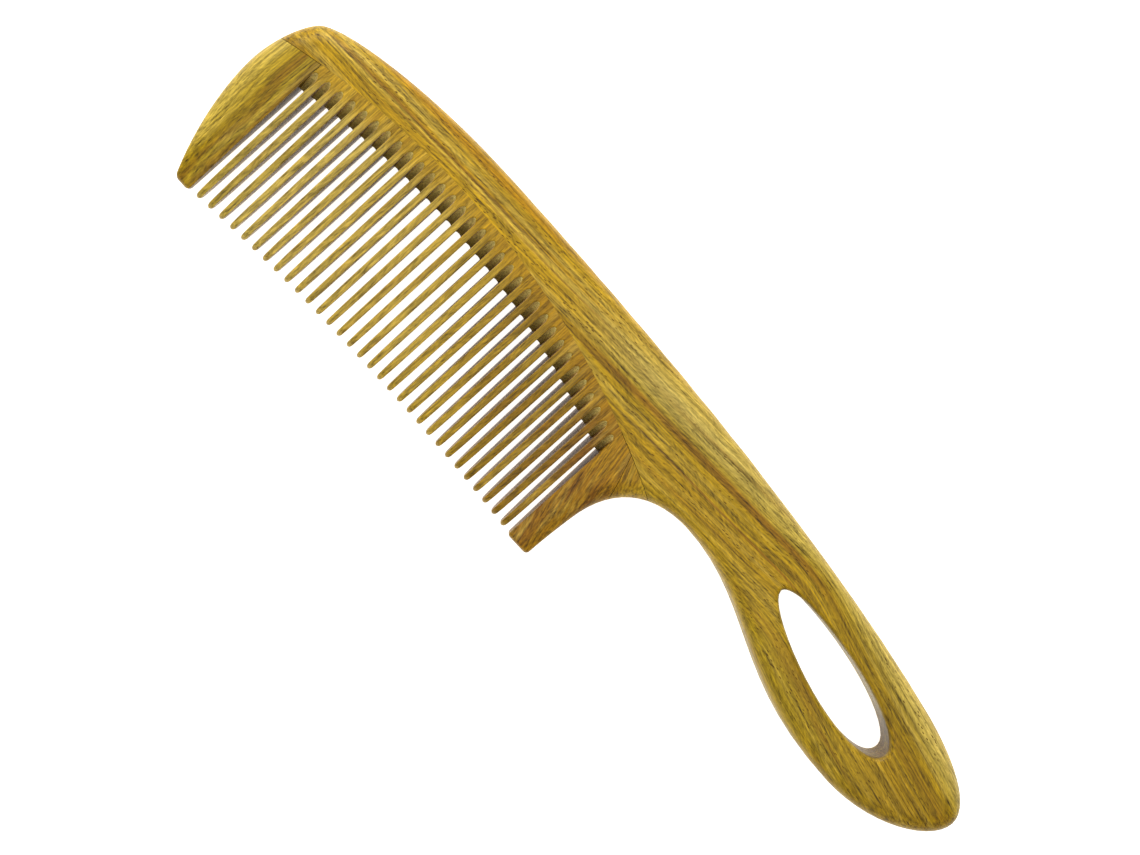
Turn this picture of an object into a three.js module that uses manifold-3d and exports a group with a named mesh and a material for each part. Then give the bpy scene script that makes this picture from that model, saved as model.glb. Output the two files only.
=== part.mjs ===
// A wooden handled comb: a long-grain spine and handle in one board, and 31 teeth with two guard blocks
// whose roots stand side by side in an arched groove along the spine.
// Millimetres. X runs from the head to the handle's end, Y from the teeth to the back, Z is up.
// The comb lies flat on one face: the origin is at the middle of its box, on the surface it lies on.
import * as THREE from 'three';
import { mergeVertices } from 'three/addons/utils/BufferGeometryUtils.js';
import Module from 'manifold-3d';

const wasm = await Module();
wasm.setup();

// ---- driving dimensions -------------------------------------------------------------------------

// whole comb
const combLength = 201;
const combWidth = 46.6;
const bodyThickness = 10;
const edgeRounding = 2.6; // of the back, the handle and the guards' outer edges, on both faces

// tooth field
const toothCount = 31;
const toothPitch = 2.83;
const gapWidth = 1.44;
const toothChamfer = 0.3; // softened long edges
const toothWidthLoss = 0.1; // narrower at the tip than at the root
const tipThickness = 3.2; // of teeth and guards, level with the feet
const tipRounding = 2.4; // length of a tooth's rounded end
const tipRise = 0.2; // of the outermost tips above the guards' feet
const tipArcRadius = 535; // shallow hollow that all the tips follow

// guards and wedge
const headGuardWidth = 9.8;
const headFootWidth = 3.5;
const heelFootWidth = 5.4;
const footRounding = 0.7;
const wedgeSetback = 0.9; // from the heel's outer face to the wedge's top corner
const wedgeReach = 2.7; // and past that face to its bottom corner
const wedgeDrop = 7.4; // of the bottom corner below the neck

// arched joint between the spine and everything that hangs from it
const spineDepth = 8.35; // from the back to the top of the arch
const seamRadius = 170;
const seamApexShift = -9; // towards the head from the middle of the tooth field
const rootBand = 1.8; // solid wood between the seam and the gaps
const rampLength = 4.2; // sloping end of each gap, from the face to the ridge at mid thickness
const glueLine = 0.12;
const tongueHeight = 2.6;
const tongueThickness = 3.4;
const tongueClearance = 0.15;
const tongueHeadMargin = 5; // closed wood at the head, where the groove stops
const tongueHeelMargin = 2.2; // and before the heel's outer face

// neck, handle and its slanted hole
const neckDepth = 20.15; // from the back line to the inside of the neck
const neckReach = 17.8; // from the heel to the neck's narrowest place
const neckEase = 19.92; // how far past the neck the lower curve still runs level
const bellyEase = 28.22; // and how far past the neck it already swings towards the belly
const bellyDepth = 33.4;
const bellyFromEnd = 23.5;
const endDepth = 20.9; // of the handle's foremost point below the back line
const holeFromNeck = 20.7;
const holeFromEnd = 20;
const holeTopDepth = 12.8;
const holeBottomDepth = 24.9;
const holeHeadDepth = 14.95; // of the hole's two end points
const holeTailDepth = 21.3;

// ---- places that follow from them ---------------------------------------------------------------

const halfThickness = bodyThickness / 2;
const headX = -combLength / 2;
const endX = combLength / 2;
const backY = combWidth / 2;
const footY = -combWidth / 2;

const toothWidth = toothPitch - gapWidth;
const fieldStartX = headX + headGuardWidth;
const fieldEndX = fieldStartX + toothCount * toothPitch + gapWidth;
const fieldMiddleX = (fieldStartX + fieldEndX) / 2;
const heelX = fieldEndX + heelFootWidth;
const neckX = heelX + neckReach;
const neckY = backY - neckDepth;

const seamCentre = new THREE.Vector2(fieldMiddleX + seamApexShift, backY - spineDepth - seamRadius);
const overrun = 12; // how far a cutting shape runs past what it cuts

// Height of an arc about the seam's centre, at x.
function arcY(radius, x) {
  return seamCentre.y + Math.sqrt(radius * radius - (x - seamCentre.x) ** 2);
}

const rampTopRadius = seamRadius - rootBand;

function ridgeY(x) {
  return arcY(rampTopRadius, x) - rampLength;
}

function tipY(x) {
  const sag = tipArcRadius - Math.sqrt(tipArcRadius ** 2 - (x - fieldMiddleX) ** 2);
  const endSag = tipArcRadius - Math.sqrt(tipArcRadius ** 2 - (fieldEndX - fieldMiddleX) ** 2);
  return footY + tipRise + endSag - sag;
}

// Half the wood's thickness at a height: full above the neck line, then a straight taper to the feet.
function halfThicknessAt(y) {
  const share = Math.max(0, (neckY - y) / (neckY - footY));
  return halfThickness + share * (tipThickness / 2 - halfThickness);
}

function gapCentreX(index) {
  return fieldStartX + gapWidth / 2 + index * toothPitch;
}

// ---- solids -------------------------------------------------------------------------------------

function solidFrom(geometry) {
  const bare = geometry.index ? geometry.toNonIndexed() : geometry.clone();
  bare.deleteAttribute('normal');
  bare.deleteAttribute('uv');
  const merged = mergeVertices(bare, 1e-5);
  const mesh = new wasm.Mesh({
    numProp: 3,
    vertProperties: new Float32Array(merged.attributes.position.array),
    triVerts: new Uint32Array(merged.index.array),
  });
  return new wasm.Manifold(mesh);
}

function geometryFrom(solid) {
  const mesh = solid.getMesh();
  const geometry = new THREE.BufferGeometry();
  geometry.setAttribute('position', new THREE.BufferAttribute(new Float32Array(mesh.vertProperties), 3));
  geometry.setIndex(new THREE.BufferAttribute(new Uint32Array(mesh.triVerts), 1));
  geometry.computeVertexNormals();
  return geometry;
}

// A plate of the given outline (in X and Y), centred on the middle of the wood's thickness.
function plate(outline, thickness, curveSegments = 12) {
  const geometry = new THREE.ExtrudeGeometry(outline, { depth: thickness, bevelEnabled: false, curveSegments });
  geometry.translate(0, 0, -thickness / 2);
  return solidFrom(geometry);
}

// A bar of the given side view (its shape's x is the comb's Y, its y the comb's Z) between two places
// along X. Its two end faces' edges can be chamfered.
function bar(sideView, fromX, toX, chamfer = 0) {
  const geometry = new THREE.ExtrudeGeometry(sideView, {
    depth: toX - fromX - 2 * chamfer,
    bevelEnabled: chamfer > 0,
    bevelThickness: chamfer,
    bevelSize: chamfer,
    bevelOffset: -chamfer,
    bevelSegments: 1,
    curveSegments: 4,
  });
  const toComb = new THREE.Matrix4().makeBasis(
    new THREE.Vector3(0, 1, 0),
    new THREE.Vector3(0, 0, 1),
    new THREE.Vector3(1, 0, 0),
  );
  geometry.applyMatrix4(toComb);
  geometry.translate(fromX + chamfer, 0, 0);
  return solidFrom(geometry);
}

function rectangle(left, bottom, right, top) {
  return new THREE.Shape([
    new THREE.Vector2(left, bottom),
    new THREE.Vector2(right, bottom),
    new THREE.Vector2(right, top),
    new THREE.Vector2(left, top),
  ]);
}

// ---- the shaped blank: the comb's whole outline with rounded edges --------------------------------

function combOutline() {
  const shoulderX = headX + 3.9;
  const shoulderY = backY - 7.4;
  const noseY = backY - 21.05;
  const crownX = headX + 48.1; // highest place of the back
  const tailX = endX - 18.6; // where the back starts to turn into the handle's end
  const tailY = backY - 10.1;
  const tipOfHandleY = backY - endDepth;
  const bellyX = endX - bellyFromEnd;
  const bellyY = backY - bellyDepth;
  const kneeX = heelX + 0.6;
  const kneeY = neckY - 15.3;
  const headFootX = fieldStartX - headFootWidth;

  const outline = new THREE.Shape();
  outline.moveTo(headFootX + 4.3, footY - 8.75);
  outline.lineTo(headFootX, footY);
  outline.bezierCurveTo(headFootX - 4.2, footY + 8.75, headX, noseY - 7, headX, noseY);
  outline.bezierCurveTo(headX, noseY + 5.3, shoulderX - 2.1, shoulderY - 2.65, shoulderX, shoulderY);
  outline.bezierCurveTo(shoulderX + 3.1, shoulderY + 3.6, crownX - 21, backY, crownX, backY);
  outline.bezierCurveTo(crownX + 38, backY, tailX - 41.2, tailY + 8.4, tailX, tailY);
  outline.bezierCurveTo(tailX + 8.3, tailY - 1.9, endX, tipOfHandleY + 5.3, endX, tipOfHandleY);
  outline.bezierCurveTo(endX, tipOfHandleY - 5.6, bellyX + 12.5, bellyY, bellyX, bellyY);
  outline.bezierCurveTo(neckX + bellyEase, bellyY, neckX + neckEase, neckY, neckX, neckY);
  outline.bezierCurveTo(neckX - 11, neckY, kneeX + 0.75, neckY - 5.9, kneeX, kneeY);
  outline.bezierCurveTo(kneeX - 0.3, kneeY - 3.5, heelX, footY + 3.7, heelX, footY);
  outline.lineTo(heelX, footY - 8.75);
  outline.closePath();
  outline.holes.push(handleHole());
  return outline;
}

function handleHole() {
  const startX = neckX + holeFromNeck;
  const stopX = endX - holeFromEnd;
  const length = stopX - startX;
  const headY = backY - holeHeadDepth;
  const tailY = backY - holeTailDepth;
  const topX = startX + 0.17 * length;
  const topY = backY - holeTopDepth;
  const bottomX = stopX - 0.22 * length;
  const bottomY = backY - holeBottomDepth;
  const hole = new THREE.Path();
  hole.moveTo(startX, headY);
  hole.bezierCurveTo(startX, headY - 3.3, bottomX - 0.3 * length, bottomY, bottomX, bottomY);
  hole.bezierCurveTo(bottomX + 0.15 * length, bottomY, stopX, tailY - 2.4, stopX, tailY);
  hole.bezierCurveTo(stopX, tailY + 3.9, topX + 0.42 * length, topY, topX, topY);
  hole.bezierCurveTo(topX - 0.08 * length, topY, startX, headY + 1.3, startX, headY);
  hole.closePath();
  return hole;
}

function shapedBlank() {
  const geometry = new THREE.ExtrudeGeometry(combOutline(), {
    depth: bodyThickness - 2 * edgeRounding,
    bevelThickness: edgeRounding,
    bevelSize: edgeRounding,
    bevelOffset: -edgeRounding,
    bevelSegments: 3,
    curveSegments: 8,
  });
  geometry.translate(0, 0, edgeRounding - halfThickness);
  return solidFrom(geometry);
}

// Below the neck line the head thins towards the feet, so every height is pressed towards mid thickness.
function thinnedTowardsFeet(solid) {
  const low = plate(rectangle(headX - overrun, footY - overrun, neckX, neckY), 2 * bodyThickness);
  const upper = solid.subtract(low);
  const geometry = geometryFrom(solid.intersect(low));
  const position = geometry.attributes.position;
  for (let i = 0; i < position.count; i += 1) {
    const squeeze = halfThicknessAt(position.getY(i)) / halfThickness;
    position.setZ(i, position.getZ(i) * squeeze);
  }
  return upper.add(solidFrom(geometry));
}

// ---- joint shapes -------------------------------------------------------------------------------

// Everything below an arc about the seam's centre.
function belowArc(radius, thickness, fromX, toX) {
  const outline = new THREE.Shape();
  const steps = 64;
  outline.moveTo(toX, footY - overrun);
  for (let i = 0; i <= steps; i += 1) {
    const x = toX + ((fromX - toX) * i) / steps;
    outline.lineTo(x, arcY(radius, x));
  }
  outline.lineTo(fromX, footY - overrun);
  outline.closePath();
  return plate(outline, thickness);
}

const seamFromX = headX - overrun;
const seamToX = neckX;
const tongueFromX = headX + tongueHeadMargin;
const tongueToX = heelX - tongueHeelMargin;

const hangingSpace = belowArc(seamRadius, 2 * bodyThickness, seamFromX, seamToX);
const underSeam = belowArc(seamRadius - glueLine, 2 * bodyThickness, seamFromX, seamToX);
const tongueSpace = belowArc(seamRadius + tongueHeight, tongueThickness, tongueFromX, tongueToX);
const groove = belowArc(
  seamRadius + tongueHeight + tongueClearance,
  tongueThickness + 2 * tongueClearance,
  tongueFromX - tongueClearance,
  tongueToX + tongueClearance,
);
const seatInSpine = underSeam.add(tongueSpace);

// The straight side of the heel wedge, as everything on its handle side, moved along X by offset.
function wedgeSide(offset) {
  const top = new THREE.Vector2(heelX - wedgeSetback + offset, arcY(seamRadius, heelX - wedgeSetback));
  const bottom = new THREE.Vector2(heelX + wedgeReach + offset, neckY - wedgeDrop);
  const run = bottom.clone().sub(top).normalize().multiplyScalar(2 * overrun);
  const high = top.clone().sub(run);
  const low = bottom.clone().add(run);
  const outline = new THREE.Shape([
    high,
    low,
    new THREE.Vector2(neckX + overrun, low.y),
    new THREE.Vector2(neckX + overrun, high.y),
  ]);
  return plate(outline, 2 * bodyThickness);
}

// Room for one guard, down to its foot, whose two lower corners are rounded.
function guardRoom(left, right, footLeft, footRight) {
  const outline = new THREE.Shape();
  outline.moveTo(left, backY);
  outline.lineTo(left, footY + overrun);
  outline.lineTo(footLeft, footY + footRounding);
  outline.quadraticCurveTo(footLeft, footY, footLeft + footRounding, footY);
  outline.lineTo(footRight - footRounding, footY);
  outline.quadraticCurveTo(footRight, footY, footRight, footY + footRounding);
  outline.lineTo(right, footY + overrun);
  outline.lineTo(right, backY);
  outline.closePath();
  return plate(outline, 2 * bodyThickness, 3);
}

// ---- pieces -------------------------------------------------------------------------------------

const blank = thinnedTowardsFeet(shapedBlank());

function spineAndHandle() {
  return blank.subtract(hangingSpace).subtract(groove);
}

function headGuard() {
  const room = guardRoom(headX - overrun, fieldStartX, fieldStartX - headFootWidth, fieldStartX);
  return blank.intersect(seatInSpine).intersect(room);
}

function heelGuard() {
  const room = guardRoom(fieldEndX, neckX, fieldEndX, heelX);
  return blank.intersect(seatInSpine).intersect(room).subtract(wedgeSide(-glueLine / 2));
}

function heelWedge() {
  return blank.intersect(underSeam).intersect(wedgeSide(glueLine / 2));
}

// Where a gap's ramp, rising from its ridge, comes out of the face.
function rampExit(ridge) {
  const face = halfThicknessAt(ridge + rampLength);
  if (face >= halfThickness) {
    return new THREE.Vector2(ridge + rampLength, halfThickness);
  }
  const taper = (halfThicknessAt(ridge) - face) / -rampLength;
  const run = halfThicknessAt(ridge) / (halfThickness / rampLength + taper);
  return new THREE.Vector2(ridge + run, halfThicknessAt(ridge + run));
}

// Side view of the root between two teeth: a ridge at mid thickness and a ramp up to each face.
function rootSideView(ridge) {
  const exit = rampExit(ridge);
  const points = [new THREE.Vector2(ridge, 0), exit];
  if (exit.x < neckY) {
    points.push(new THREE.Vector2(neckY, halfThickness));
  }
  points.push(new THREE.Vector2(backY, halfThickness));
  const mirrored = points.slice(1).reverse().map((p) => new THREE.Vector2(p.x, -p.y));
  return new THREE.Shape([...points, ...mirrored]);
}

// Side view of a tooth from the given height down to its rounded tip.
function toothSideView(topY, tip) {
  const outline = new THREE.Shape();
  const bend = tip + tipRounding;
  outline.moveTo(topY, -halfThicknessAt(topY));
  outline.lineTo(topY, halfThicknessAt(topY));
  if (topY > neckY) {
    outline.lineTo(neckY, halfThickness);
  }
  outline.lineTo(bend, halfThicknessAt(bend));
  outline.bezierCurveTo(bend - 0.6 * tipRounding, halfThicknessAt(bend), tip, 1.1, tip, 0);
  outline.bezierCurveTo(tip, -1.1, bend - 0.6 * tipRounding, -halfThicknessAt(bend), bend, -halfThicknessAt(bend));
  if (topY > neckY) {
    outline.lineTo(neckY, -halfThickness);
  }
  outline.closePath();
  return outline;
}

// Front view of a tooth, a little narrower at its rounded tip.
function toothFrontView(centreX, topY, tip) {
  const rootHalf = toothWidth / 2;
  const tipHalf = (toothWidth - toothWidthLoss) / 2;
  const outline = new THREE.Shape();
  outline.moveTo(centreX - rootHalf, topY);
  outline.lineTo(centreX - tipHalf, tip + tipHalf);
  outline.quadraticCurveTo(centreX - tipHalf, tip, centreX, tip);
  outline.quadraticCurveTo(centreX + tipHalf, tip, centreX + tipHalf, tip + tipHalf);
  outline.lineTo(centreX + rootHalf, topY);
  outline.closePath();
  return outline;
}

// One tooth: its shank, and the wide root that fills half of the pitch on each side up to the spine.
function tooth(index) {
  const gapBefore = gapCentreX(index);
  const gapAfter = gapCentreX(index + 1);
  const centreX = (gapBefore + gapAfter) / 2;
  const leftX = centreX - toothWidth / 2;
  const rightX = centreX + toothWidth / 2;
  const rootLeftX = (index === 0 ? fieldStartX : gapBefore) + glueLine / 2;
  const rootRightX = (index === toothCount - 1 ? fieldEndX : gapAfter) - glueLine / 2;
  const ridgeBefore = ridgeY(gapBefore);
  const ridgeAfter = ridgeY(gapAfter);
  const shoulderY = Math.min(rampExit(ridgeBefore).x, rampExit(ridgeAfter).x);
  const tip = tipY(centreX);
  const bite = 0.02; // the parts of one tooth run this far into each other

  const shankTop = shoulderY + toothChamfer;
  const shank = bar(toothSideView(shankTop, tip), leftX, rightX, toothChamfer)
    .intersect(plate(toothFrontView(centreX, shankTop, tip), 2 * bodyThickness, 3));
  const collarView = new THREE.Shape([
    new THREE.Vector2(shoulderY, -halfThicknessAt(shoulderY)),
    new THREE.Vector2(backY, -halfThickness),
    new THREE.Vector2(backY, halfThickness),
    new THREE.Vector2(shoulderY, halfThicknessAt(shoulderY)),
  ]);
  const collar = bar(collarView, leftX, rightX);
  const rootBefore = bar(rootSideView(ridgeBefore), rootLeftX, leftX + bite);
  const rootAfter = bar(rootSideView(ridgeAfter), rightX - bite, rootRightX);
  return shank.add(collar).add(rootBefore).add(rootAfter).intersect(seatInSpine);
}

// ---- the assembly -------------------------------------------------------------------------------

const comb = new THREE.Group();
comb.position.z = halfThickness;

function addPiece(name, solid, colour, roughness) {
  const material = new THREE.MeshStandardMaterial({ color: colour, roughness, metalness: 0 });
  const mesh = new THREE.Mesh(geometryFrom(solid), material);
  mesh.name = name;
  comb.add(mesh);
}

addPiece('spine_and_handle', spineAndHandle(), 0xb0863a, 0.42);
addPiece('head_guard', headGuard(), 0xa5863a, 0.45);
addPiece('heel_guard', heelGuard(), 0x9a7230, 0.45);
addPiece('heel_wedge', heelWedge(), 0xa87c38, 0.45);
for (let i = 0; i < toothCount; i += 1) {
  const shade = new THREE.Color(0xb08a3f).lerp(new THREE.Color(0x94692b), i / (toothCount - 1));
  addPiece(`tooth_${String(i + 1).padStart(2, '0')}`, tooth(i), shade, 0.48);
}

export default comb;
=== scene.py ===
# %% [markdown]
# # A wide tooth comb in solid wood
# The real comb is made from a few boards: a spine that runs on into a handle with a long finger hole,
# and below an arched joint a row of upright wood in which a saw has cut narrow gaps, so that thin teeth
# are left between two broad guards. A small wedge fills the corner between the heel and the handle.
# The lesson builds each of these as its own piece, one after the other, and gives them a wood finish
# made of nodes. The first cell loads the comb's fixed frame, which says where each piece belongs.

# %% Load the fixed frame
import math

import bmesh
import bpy
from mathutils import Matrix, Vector
from mathutils.geometry import interpolate_bezier


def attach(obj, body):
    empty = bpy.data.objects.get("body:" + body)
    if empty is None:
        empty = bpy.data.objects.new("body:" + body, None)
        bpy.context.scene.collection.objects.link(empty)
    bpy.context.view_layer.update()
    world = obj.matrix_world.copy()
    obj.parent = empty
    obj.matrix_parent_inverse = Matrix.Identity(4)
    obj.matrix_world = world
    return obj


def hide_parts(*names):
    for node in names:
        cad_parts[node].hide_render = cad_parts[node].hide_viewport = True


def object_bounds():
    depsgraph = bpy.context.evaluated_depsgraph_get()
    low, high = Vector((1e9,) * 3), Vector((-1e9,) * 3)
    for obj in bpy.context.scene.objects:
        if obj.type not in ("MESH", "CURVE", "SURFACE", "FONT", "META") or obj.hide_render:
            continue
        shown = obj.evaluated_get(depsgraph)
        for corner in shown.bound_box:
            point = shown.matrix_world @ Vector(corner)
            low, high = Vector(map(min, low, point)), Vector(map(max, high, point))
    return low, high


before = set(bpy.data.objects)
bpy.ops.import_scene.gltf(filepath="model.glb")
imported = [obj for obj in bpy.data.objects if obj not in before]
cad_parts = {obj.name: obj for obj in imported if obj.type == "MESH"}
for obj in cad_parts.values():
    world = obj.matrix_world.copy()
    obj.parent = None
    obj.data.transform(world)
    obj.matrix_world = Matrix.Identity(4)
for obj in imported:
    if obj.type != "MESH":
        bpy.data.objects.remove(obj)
frame_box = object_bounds()

# %% [markdown]
# ## Camera
# The comb lies on its side and is seen from nearly straight above, turned so that its head points up
# and its handle points down to the right. A longer lens keeps the two ends at nearly the same scale.
# A camera that is tilted by a few degrees shows a little of the walls between the teeth.

# %% Place the camera
camera_data = bpy.data.cameras.new("camera")
camera_data.lens = 64.98
camera_data.sensor_width = 36
camera = bpy.data.objects.new("camera", camera_data)
camera.location = (-0.04981, -0.00007, 0.40037)
camera.rotation_euler = (-0.07746, -0.06972, 0.83133)
bpy.context.scene.collection.objects.link(camera)
bpy.context.scene.camera = camera
print("camera is", round(camera.location.z * 1000), "mm above the table")

# %% [markdown]
# ## Table and light
# Small wooden goods are often shown on a white table that glows a little from below, because it keeps
# the narrow gaps between the teeth bright. Here the table is one large flat piece whose material gives
# off some light of its own. A pale sky lights the comb from all around, and one large soft lamp stands
# behind the comb's head, so that the rounded back and the head's outer edge catch the most light. A
# second, weaker lamp hangs overhead and fills in the rest.

# %% Make the table and the lights
table_gap = 0.0001  # the table lies a little below the comb, so that the two never share a surface


def white_table():
    mesh = bpy.data.meshes.new("table")
    bm = bmesh.new()
    bmesh.ops.create_grid(bm, x_segments=1, y_segments=1, size=3.0)
    bmesh.ops.translate(bm, vec=(0, 0, -table_gap), verts=bm.verts)
    bm.to_mesh(mesh)
    bm.free()
    paint = bpy.data.materials.new("white table")
    paint.use_nodes = True
    shader = paint.node_tree.nodes["Principled BSDF"]
    shader.inputs["Base Color"].default_value = (0.86, 0.86, 0.86, 1)
    shader.inputs["Roughness"].default_value = 0.7
    shader.inputs["Emission Color"].default_value = (1, 1, 1, 1)
    shader.inputs["Emission Strength"].default_value = 0.9
    mesh.materials.append(paint)
    table = bpy.data.objects.new("table", mesh)
    bpy.context.scene.collection.objects.link(table)


def soft_lamp(name, place, size, power):
    data = bpy.data.lights.new(name, "AREA")
    data.shape = "DISK"
    data.size = size
    data.energy = power
    lamp = bpy.data.objects.new(name, data)
    lamp.location = place
    lamp.rotation_euler = (-Vector(place)).to_track_quat("-Z", "Y").to_euler()
    bpy.context.scene.collection.objects.link(lamp)


white_table()
soft_lamp("window side lamp", (-0.62, 0.56, 0.72), 0.7, 8.8)
soft_lamp("overhead lamp", (0.10, -0.15, 1.3), 0.9, 3.3)

sky = bpy.data.worlds.new("pale room")
sky.use_nodes = True
sky.node_tree.nodes["Background"].inputs["Color"].default_value = (1, 1, 1, 1)
sky.node_tree.nodes["Background"].inputs["Strength"].default_value = 0.42
bpy.context.scene.world = sky
bpy.context.scene.view_settings.view_transform = "Standard"

# %% [markdown]
# ## Sizes
# All pieces are worked out in millimetres about the middle of the wood's thickness, and turned into
# metres at the very end. The comb's overall size comes from the frame, and the sizes of the teeth and of
# the joint are the ones that the comb was laid out with.

# %% Sizes of the comb
low, high = frame_box[0] * 1000, frame_box[1] * 1000
head_x, end_x, foot_y, back_y = low.x, high.x, low.y, high.y
half = (high.z - low.z) / 2
same_place = 1e-4  # places nearer than this count as one

tooth_count = 31
pitch = 2.83
gap_width = 1.44
tooth_width = pitch - gap_width

field_start = head_x + 9.8
head_foot_x = field_start - 3.5
field_end = field_start + tooth_count * pitch + gap_width
heel_x = field_end + 5.4
neck_x = heel_x + 17.8
neck_y = back_y - 20.15

spine_depth = 8.35  # from the back down to the top of the arched joint
seam_radius = 170.0
field_middle = (field_start + field_end) / 2
seam_middle = Vector((field_middle - 9, back_y - spine_depth - seam_radius))


def arc_y(radius, x):
    """Height at x of an arch about the joint's middle."""
    return seam_middle.y + math.sqrt(radius * radius - (x - seam_middle.x) ** 2)


def gap_middle(index):
    return field_start + gap_width / 2 + index * pitch


print("tooth field from", round(field_start, 2), "to", round(field_end, 2), "mm")

# %% [markdown]
# ## The comb's outline
# The outline is one closed run of Bezier curves, as a maker would draw it with a bent batten: up the
# head, over the long back, round the handle and in under the neck. Blender can measure points along such
# a curve by itself, so each curve only needs its two handles and its end.

# %% Draw the outline and the finger hole
hole_from, hole_to = neck_x + 20.7, end_x - 20
spare_foot = 8.75  # how far the board stands below the feet before it is sawn to length


def along(start, *curves, steps=14):
    """Points along a run of curves. A curve is (handle, handle, end), a straight line (end,)."""
    points = [Vector((*start, 0))]
    for curve in curves:
        goals = [Vector((*place, 0)) for place in curve]
        if len(goals) == 1:
            points.append(goals[0])
        else:
            points.extend(interpolate_bezier(points[-1], *goals, steps + 1)[1:])
    return points


def comb_outline():
    shoulder = (head_x + 3.9, back_y - 7.4)
    nose_y = back_y - 21.05
    crown_x = head_x + 48.1
    tail = (end_x - 18.6, back_y - 10.1)
    handle_tip_y = back_y - 20.9
    belly = (end_x - 23.5, back_y - 33.4)
    knee = (heel_x + 0.6, neck_y - 15.3)
    belly_handle_x, neck_handle_x = neck_x + 28.22, neck_x + 19.92
    return along(
        (head_foot_x + 4.3, foot_y - spare_foot),
        ((head_foot_x, foot_y),),
        ((head_foot_x - 4.2, foot_y + 8.75), (head_x, nose_y - 7), (head_x, nose_y)),
        ((head_x, nose_y + 5.3), (shoulder[0] - 2.1, shoulder[1] - 2.65), shoulder),
        ((shoulder[0] + 3.1, shoulder[1] + 3.6), (crown_x - 21, back_y), (crown_x, back_y)),
        ((crown_x + 38, back_y), (tail[0] - 41.2, tail[1] + 8.4), tail),
        ((tail[0] + 8.3, tail[1] - 1.9), (end_x, handle_tip_y + 5.3), (end_x, handle_tip_y)),
        ((end_x, handle_tip_y - 5.6), (belly[0] + 12.5, belly[1]), belly),
        ((belly_handle_x, belly[1]), (neck_handle_x, neck_y), (neck_x, neck_y)),
        ((neck_x - 11, neck_y), (knee[0] + 0.75, neck_y - 5.9), knee),
        ((knee[0] - 0.3, knee[1] - 3.5), (heel_x, foot_y + 3.7), (heel_x, foot_y)),
        ((heel_x, foot_y - spare_foot),),
    )


def finger_hole():
    length = hole_to - hole_from
    head_y, tail_y = back_y - 14.95, back_y - 21.3
    top = (hole_from + 0.17 * length, back_y - 12.8)
    bottom = (hole_to - 0.22 * length, back_y - 24.9)
    points = along(
        (hole_from, head_y),
        ((hole_from, head_y - 3.3), (bottom[0] - 0.3 * length, bottom[1]), bottom),
        ((bottom[0] + 0.15 * length, bottom[1]), (hole_to, tail_y - 2.4), (hole_to, tail_y)),
        ((hole_to, tail_y + 3.9), (top[0] + 0.42 * length, top[1]), top),
        ((top[0] - 0.08 * length, top[1]), (hole_from, head_y + 1.3), (hole_from, head_y)),
    )
    return points[:-1]


print(len(comb_outline()), "points round the comb,", len(finger_hole()), "round its finger hole")

# %% [markdown]
# ## The shaped board
# Spine, guards and wedge are sanded together after gluing, so their faces run on without a step. That is
# easiest to get by shaping one whole board first and sawing the pieces out of it afterwards.
# A face with a hole in it can't be one polygon, so two short lines from the hole to the outline split it
# into two. The board is extruded taller than it should be, its outer edges are bevelled, and it is
# pressed flat again: the bevel then reaches further over the face than it goes down, as hand sanding
# leaves it. The finger hole gets a smaller, even rounding afterwards.

# %% Shape the whole board
edge_depth = 2.6  # how far the edge rounding goes down into the thickness
edge_reach = 4.0  # and how far it reaches in over the face
hole_edge = 1.1  # rounding round the finger hole


def shaped_board():
    bm = bmesh.new()
    rise = edge_reach / edge_depth
    outer = [bm.verts.new((p.x, p.y, -half * rise)) for p in comb_outline()]
    inner = [bm.verts.new((p.x, p.y, -half * rise)) for p in finger_hole()]

    def spot(vert):
        return round(vert.co.x, 3), round(vert.co.y, 3)

    hole_spots = {spot(v) for v in inner}

    def nearest(vert):
        return min(range(len(outer)), key=lambda i: (outer[i].co - vert.co).length)

    def walk(ring, first, last):
        return [ring[(first + k) % len(ring)] for k in range((last - first) % len(ring) + 1)]

    head_end = min(range(len(inner)), key=lambda i: inner[i].co.x)
    tail_end = max(range(len(inner)), key=lambda i: inner[i].co.x)
    from_head, from_tail = nearest(inner[head_end]), nearest(inner[tail_end])
    bm.faces.new(walk(outer, from_head, from_tail) + walk(inner, tail_end, head_end))
    bm.faces.new(walk(outer, from_tail, from_head) + walk(inner, head_end, tail_end))

    raised = bmesh.ops.extrude_face_region(bm, geom=bm.faces[:])
    upper = [g for g in raised["geom"] if isinstance(g, bmesh.types.BMVert)]
    bmesh.ops.translate(bm, vec=(0, 0, 2 * half * rise), verts=upper)
    bmesh.ops.recalc_face_normals(bm, faces=bm.faces)

    def at_hole(edge):
        return all(spot(v) in hole_spots for v in edge.verts)

    def level_corner(edge):
        level = abs(edge.verts[0].co.z - edge.verts[1].co.z) < same_place
        return level and edge.calc_face_angle(0) > 1

    def round_over(edges, width, segments):
        bmesh.ops.bevel(
            bm, geom=edges, offset=width, offset_type="OFFSET", segments=segments, profile=0.5,
            affect="EDGES", clamp_overlap=False, loop_slide=False, material=-1,
        )

    round_over([e for e in bm.edges if level_corner(e) and not at_hole(e)], edge_reach, 12)
    bmesh.ops.scale(bm, vec=(1, 1, 1 / rise), verts=bm.verts)
    round_over([e for e in bm.edges if level_corner(e) and at_hole(e)], hole_edge, 6)
    return bm


board = shaped_board()
print("the board has", len(board.faces), "faces")

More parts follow.
